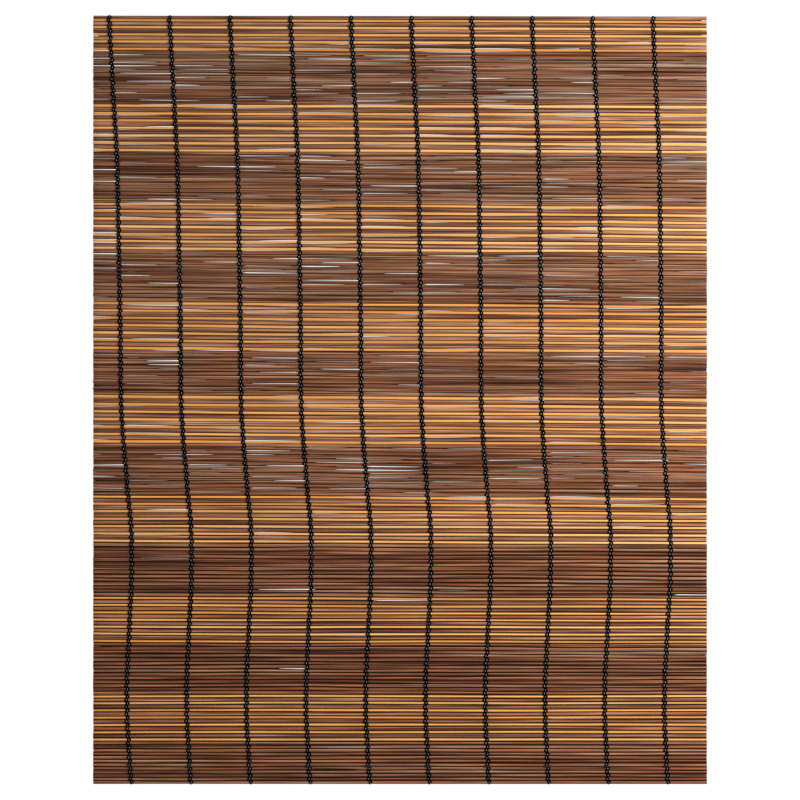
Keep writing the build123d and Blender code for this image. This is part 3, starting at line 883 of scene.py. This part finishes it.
def stapleTree():
    # the base is one open line of four points for each staple, moved onto the mat's own threads
    tree, given, made = pieceTree("staples", "Row", "Wire", "Round")
    x = useGroup(tree, threadX, {"Column": readFloat(tree, "column"), "Row": given["Row"]})[0]
    z = useGroup(tree, rowHeight, {"X": x, "Row": given["Row"]})[0]
    moved = addNode(tree, "GeometryNodeSetPosition", {"Geometry": given["Geometry"],
                                                      "Offset": vector(tree, x, 0.0, z)})
    curve = addNode(tree, "GeometryNodeMeshToCurve", {"Mesh": moved.outputs[0]})
    bent = addNode(tree, "GeometryNodeFilletCurve", {"Curve": curve.outputs[0], "Radius": given["Round"],
                                                     "Count": staple["roundSteps"]}, mode="POLY")
    tube = roundTube(tree, bent.outputs[0], times(tree, given["Wire"], 0.5), staple["sides"])
    endTree(tree, made, tube, given["Material"])
    return tree


def makeStaples(name, row):
    half = (staple["inner"] + staple["wire"]) / 2 * mm
    low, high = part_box(name)
    crown = low.y + staple["wire"] / 2 * mm
    places, edges, columns = [], [], []
    for column in range(mat["threads"]):
        first = len(places)
        places += [(-half, high.y, 0.0), (-half, crown, 0.0), (half, crown, 0.0), (half, high.y, 0.0)]
        edges += [(first + step, first + step + 1) for step in range(3)]
        columns += [float(column)] * 4
    grow(name + "_wire", pointMesh(name, places, edges, column=columns), staples,
         {"Row": row, "Wire": staple["wire"] * mm, "Round": staple["round"] * mm, "Material": wire},
         "black_wire", name)


staples = stapleTree()
for name, row in staple["rows"].items():
    makeStaples(name, row)


# Cord rings on the back, each tied to the mat with a few turns of thread

ring = {"radius": 5.5, "section": 1.0, "segments": 40, "sides": 12}
tie = {"strand": 0.28, "turns": 3.0, "width": 1.3, "depth": 1.45, "height": 1.36, "back": 0.8, "steps": 18,
       "sides": 6}


def ringTree():
    tree, given, made = pieceTree("rings", "Radius", "Section")
    circle = addNode(tree, "GeometryNodeCurvePrimitiveCircle", {"Resolution": ring["segments"],
                                                                "Radius": given["Radius"]})
    tube = roundTube(tree, circle.outputs[0], given["Section"], ring["sides"])
    endTree(tree, made, atPoints(tree, given["Geometry"], tube), given["Material"])
    return tree


def ringCentres(name):
    low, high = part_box(name)
    x, y = (low.x + high.x) / 2, (low.y + high.y) / 2
    top, bottom = high.z - ring["section"] * mm, low.z + ring["section"] * mm
    return [(x, y, top), (x, y, (top + bottom) / 2), (x, y, bottom)]


def tieTree():
    tree, given, made = pieceTree("ties", "Strand", "Width", "Depth", "Height", "Turns")
    coil = addNode(tree, "GeometryNodeCurveSpiral", {"Resolution": tie["steps"], "Rotations": given["Turns"],
                                                     "Start Radius": 1.0, "End Radius": 1.0, "Height": 1.0})
    lengths = vector(tree, given["Height"], given["Depth"], given["Width"])
    sized = addNode(tree, "GeometryNodeTransform", {"Geometry": coil.outputs[0], "Scale": lengths})
    turned = addNode(tree, "GeometryNodeTransform", {"Geometry": sized.outputs[0],
                                                     "Rotation": (0.0, math.radians(90), 0.0)})
    tube = roundTube(tree, turned.outputs[0], given["Strand"], tie["sides"])
    endTree(tree, made, atPoints(tree, given["Geometry"], tube), given["Material"])
    return tree


rings = ringTree()
ties = tieTree()
tiePlaces = []
for name in ("left_cord_rings", "right_cord_rings"):
    centres = ringCentres(name)
    grow(name + "_round", pointMesh(name, centres), rings,
         {"Radius": ring["radius"] * mm, "Section": ring["section"] * mm, "Material": nylon},
         "white_nylon", name)
    tiePlaces += [(x - tie["width"] / 2 * mm, matHigh.y + tie["back"] * mm, z) for x, y, z in centres]
grow("ring_tie_threads", pointMesh("tieBase", tiePlaces), ties,
     {"Strand": tie["strand"] * mm, "Width": tie["width"] * mm, "Depth": tie["depth"] * mm,
      "Height": tie["height"] * mm, "Turns": tie["turns"], "Material": blackThread},
     "black_thread", "ring_ties")


# Pan-head screws with a cross recess, two in each pulley bracket and two in the lock's housing

screw = {"head": 2.8, "height": 1.2, "dome": 0.4, "domePower": 3.0, "sides": 32, "rings": 4,
         "slot": 0.6, "slotLength": 3.4, "slotDepth": 0.55,
         "shank": 1.2, "shankSides": 16, "bite": 10.0, "crest": 0.32, "turns": 8.0, "turnSteps": 16,
         "threadFrom": 0.12, "threadShare": 0.85, "turnSeed": 4.0}
screwPlates = {"left_pulley_bracket": {"plate": 1.0, "offset": 11.0},
               "right_pulley_bracket": {"plate": 1.0, "offset": 11.0},
               "lock_housing": {"plate": 1.2, "offset": 15.3}}


def raised(tree, geometry, height):
    return addNode(tree, "GeometryNodeTransform", {"Geometry": geometry,
                                                   "Translation": vector(tree, 0.0, 0.0, height)}).outputs[0]


def joined(tree, *parts):
    made = addNode(tree, "GeometryNodeJoinGeometry")
    for part in parts:
        tree.links.new(part, made.inputs[0])
    return made.outputs[0]


def screwHead(tree, given):
    height = given["Head Height"]
    disc = addNode(tree, "GeometryNodeMeshCylinder", {"Vertices": screw["sides"], "Side Segments": 1,
                                                      "Fill Segments": screw["rings"],
                                                      "Radius": given["Head"], "Depth": height},
                   fill_type="TRIANGLE_FAN")
    x, y, z = position(tree)
    away = maths(tree, "DIVIDE", distance(tree, x, y), given["Head"])
    rise = times(tree, maths(tree, "POWER", away, screw["domePower"]), times(tree, height, screw["dome"]),
                 maths(tree, "LESS_THAN", z, 0.0))
    domed = addNode(tree, "GeometryNodeSetPosition", {"Geometry": disc.outputs[0],
                                                      "Offset": vector(tree, 0.0, 0.0, rise)})
    long, slot, deep = screw["slotLength"] * mm, given["Slot"], 2 * screw["slotDepth"] * mm
    bars = [addNode(tree, "GeometryNodeMeshCube", {"Size": vector(tree, *sizes, deep)}).outputs[0]
            for sizes in ((long, slot), (slot, long))]
    cross = joined(tree, *(raised(tree, bar, times(tree, height, -1.0)) for bar in bars))
    head = raised(tree, domed.outputs[0], times(tree, height, -0.5))
    return addNode(tree, "GeometryNodeMeshBoolean", {"Mesh 1": head, "Mesh 2": cross,
                                                     "Self Intersection": True},
                   operation="DIFFERENCE", solver="EXACT").outputs[0]


def screwTree():
    # the heads' undersides lie at the points, and the shanks go up from there
    tree, given, made = pieceTree("screws", "Head", "Head Height", "Shank", "Length", "Slot", "Crest")
    length, radius = given["Length"], given["Shank"]
    shank = addNode(tree, "GeometryNodeMeshCylinder", {"Vertices": screw["shankSides"], "Radius": radius,
                                                       "Depth": length})
    coil = addNode(tree, "GeometryNodeCurveSpiral", {"Resolution": screw["turnSteps"],
                                                     "Rotations": screw["turns"],
                                                     "Start Radius": radius, "End Radius": radius,
                                                     "Height": times(tree, length, screw["threadShare"])})
    crest = roundTube(tree, coil.outputs[0], given["Crest"], 3)
    whole = joined(tree, screwHead(tree, given), raised(tree, shank.outputs[0], times(tree, length, 0.5)),
                   raised(tree, crest, times(tree, length, screw["threadFrom"])))
    number = addNode(tree, "GeometryNodeInputIndex").outputs[0]
    turn = times(tree, chance(tree, number, 1.0, screw["turnSeed"]), math.pi)
    placed = atPoints(tree, given["Geometry"], whole, vector(tree, 0.0, 0.0, turn))
    endTree(tree, made, placed, given["Material"], False)
    return tree


screws = screwTree()
screwPlaces = []
for name, seat in screwPlates.items():
    low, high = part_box(name)
    for side in (-1, 1):
        screwPlaces.append(((low.x + high.x) / 2 + side * seat["offset"] * mm, (low.y + high.y) / 2,
                            high.z - seat["plate"] * mm))
grow("pan_head_screws", pointMesh("screwBase", screwPlaces), screws,
     {"Head": screw["head"] * mm, "Head Height": screw["height"] * mm, "Shank": screw["shank"] * mm,
      "Length": (screw["bite"] + screwPlates["lock_housing"]["plate"]) * mm, "Slot": screw["slot"] * mm,
      "Crest": screw["crest"] * mm, "Material": steel}, "zinc_steel", "hardware_screws")
print("staples, rings, ties and screws made")
